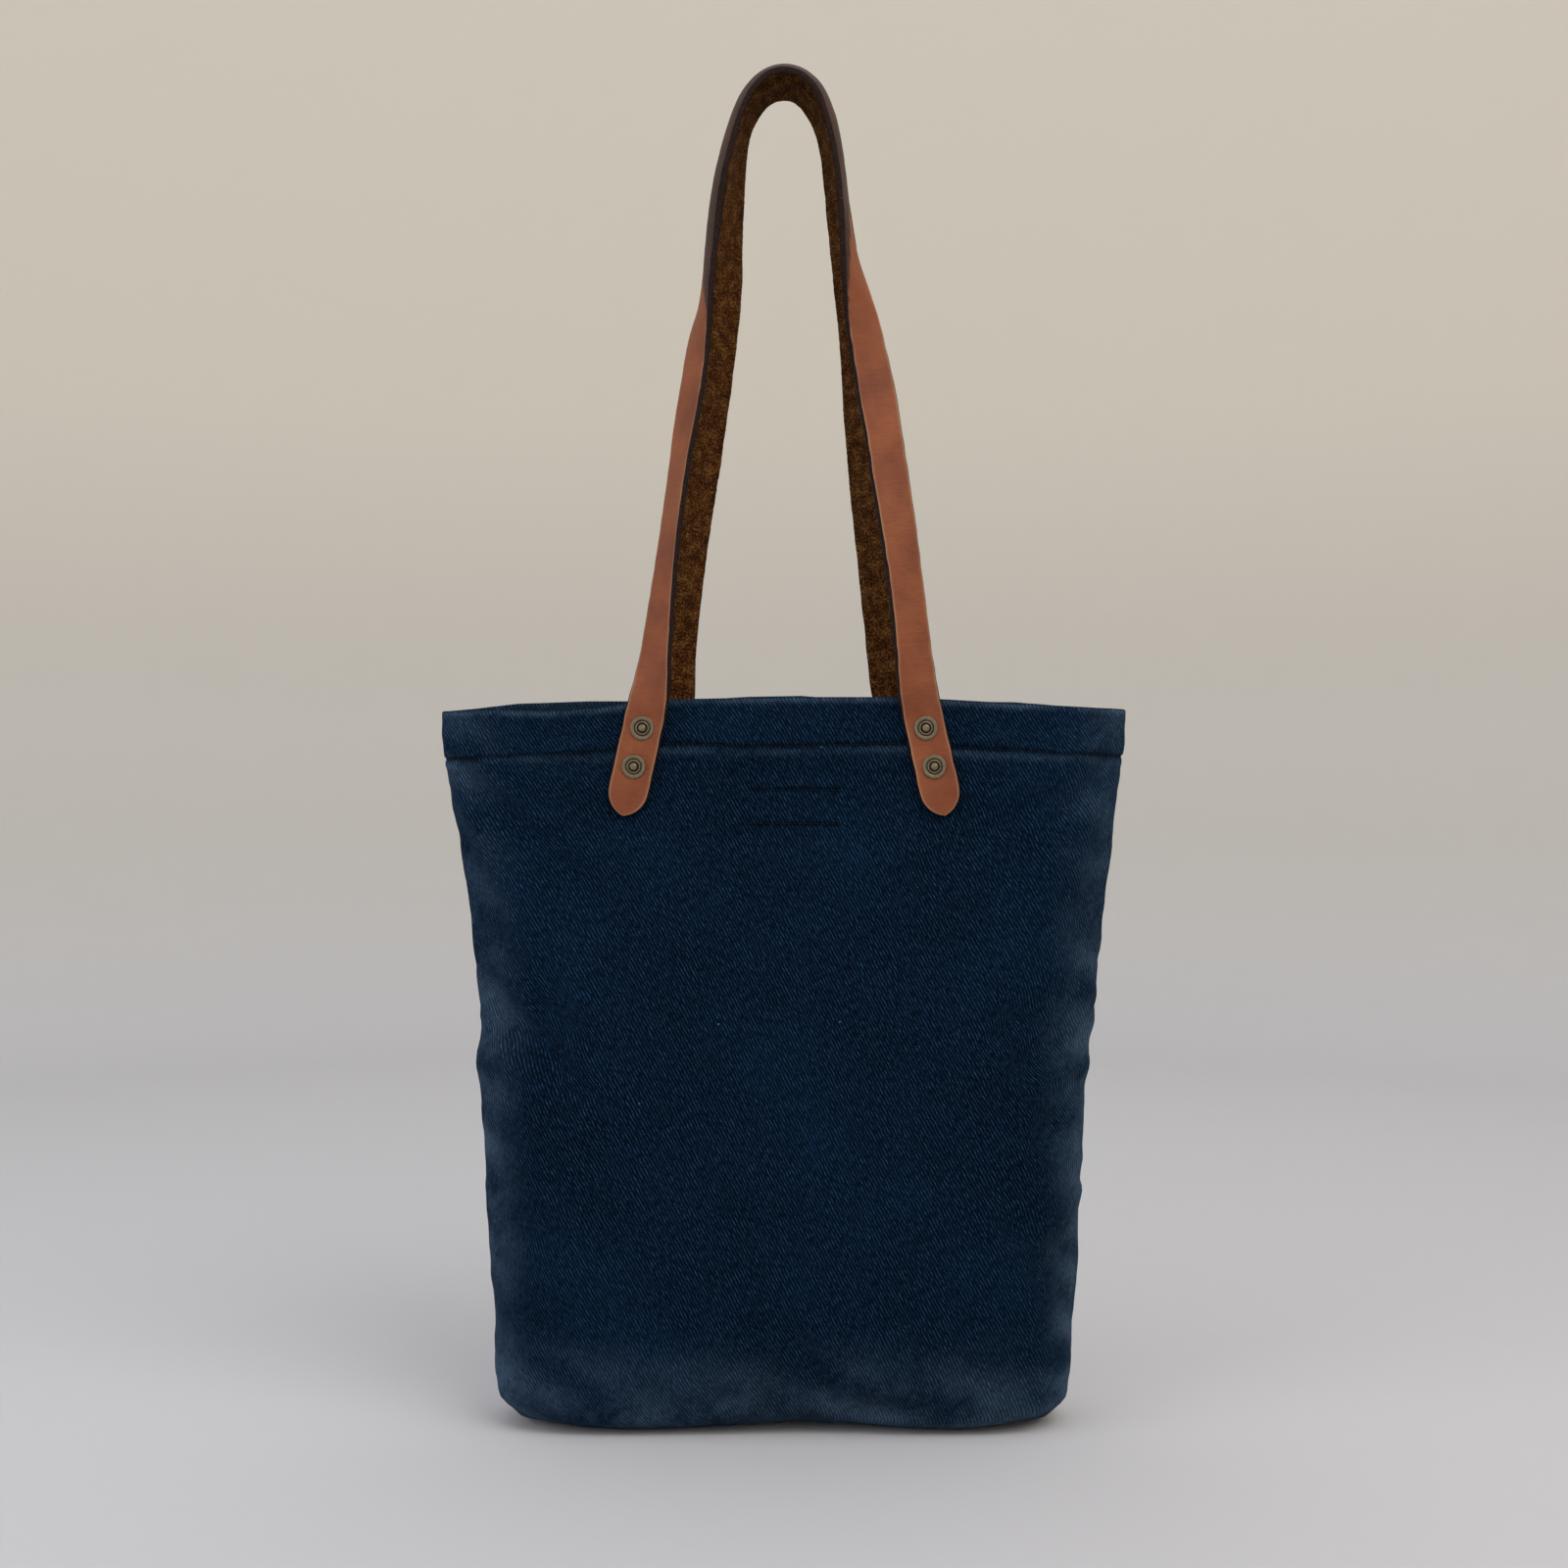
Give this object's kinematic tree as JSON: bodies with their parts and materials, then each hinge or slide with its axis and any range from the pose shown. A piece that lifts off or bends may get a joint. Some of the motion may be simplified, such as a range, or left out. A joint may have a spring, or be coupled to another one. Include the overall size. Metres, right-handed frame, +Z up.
{
  "type": "beach bag",
  "caption": "Open-topped twill tote with a boxed bottom, a turned hem and a pair of riveted leather handles that fold outward.",
  "frame": {"origin": "middle of the boxed bottom, on the surface that the bag stands on", "axes": "+Z up, the front of the bag faces -Y, +X to the right as the front is seen"},
  "size_m": [0.38, 0.076, 0.7496],
  "materials": {
    "twill": "matt",
    "leather": "satin",
    "thread": "matt",
    "label": "matt",
    "brass": "antique"
  },
  "bodies": {
    "bag": {"front_panel": "twill", "back_panel": "twill", "front_hem": "twill", "back_hem": "twill", "side_seam_left": "twill", "side_seam_right": "twill", "base_seam": "twill", "corner_seam_left": "twill", "corner_seam_right": "twill", "hem_stitching": "thread", "inner_label": "label", "label_stitching": "thread", "front_strap_end_left": "leather", "front_strap_end_right": "leather", "back_strap_end_left": "leather", "back_strap_end_right": "leather", "rivet_front_left_upper": "brass", "rivet_front_left_lower": "brass", "rivet_front_right_upper": "brass", "rivet_front_right_lower": "brass", "rivet_back_left_upper": "brass", "rivet_back_left_lower": "brass", "rivet_back_right_upper": "brass", "rivet_back_right_lower": "brass", "cap_front_left_upper": "brass", "cap_front_left_lower": "brass", "cap_front_right_upper": "brass", "cap_front_right_lower": "brass", "cap_back_left_upper": "brass", "cap_back_left_lower": "brass", "cap_back_right_upper": "brass", "cap_back_right_lower": "brass"},
    "front_handle": {"front_handle_loop": "leather"},
    "back_handle": {"back_handle_loop": "leather"}
  },
  "joints": [
    {"name": "front_handle_fold", "type": "hinge", "parent": "bag", "child": "front_handle", "pos_m": [0, -0.0197, 0.401], "axis": [1, 0, 0], "range_deg": [0, 165]},
    {"name": "back_handle_fold", "type": "hinge", "parent": "bag", "child": "back_handle", "pos_m": [0, 0.0197, 0.401], "axis": [-1, 0, 0], "range_deg": [0, 165]}
  ]
}
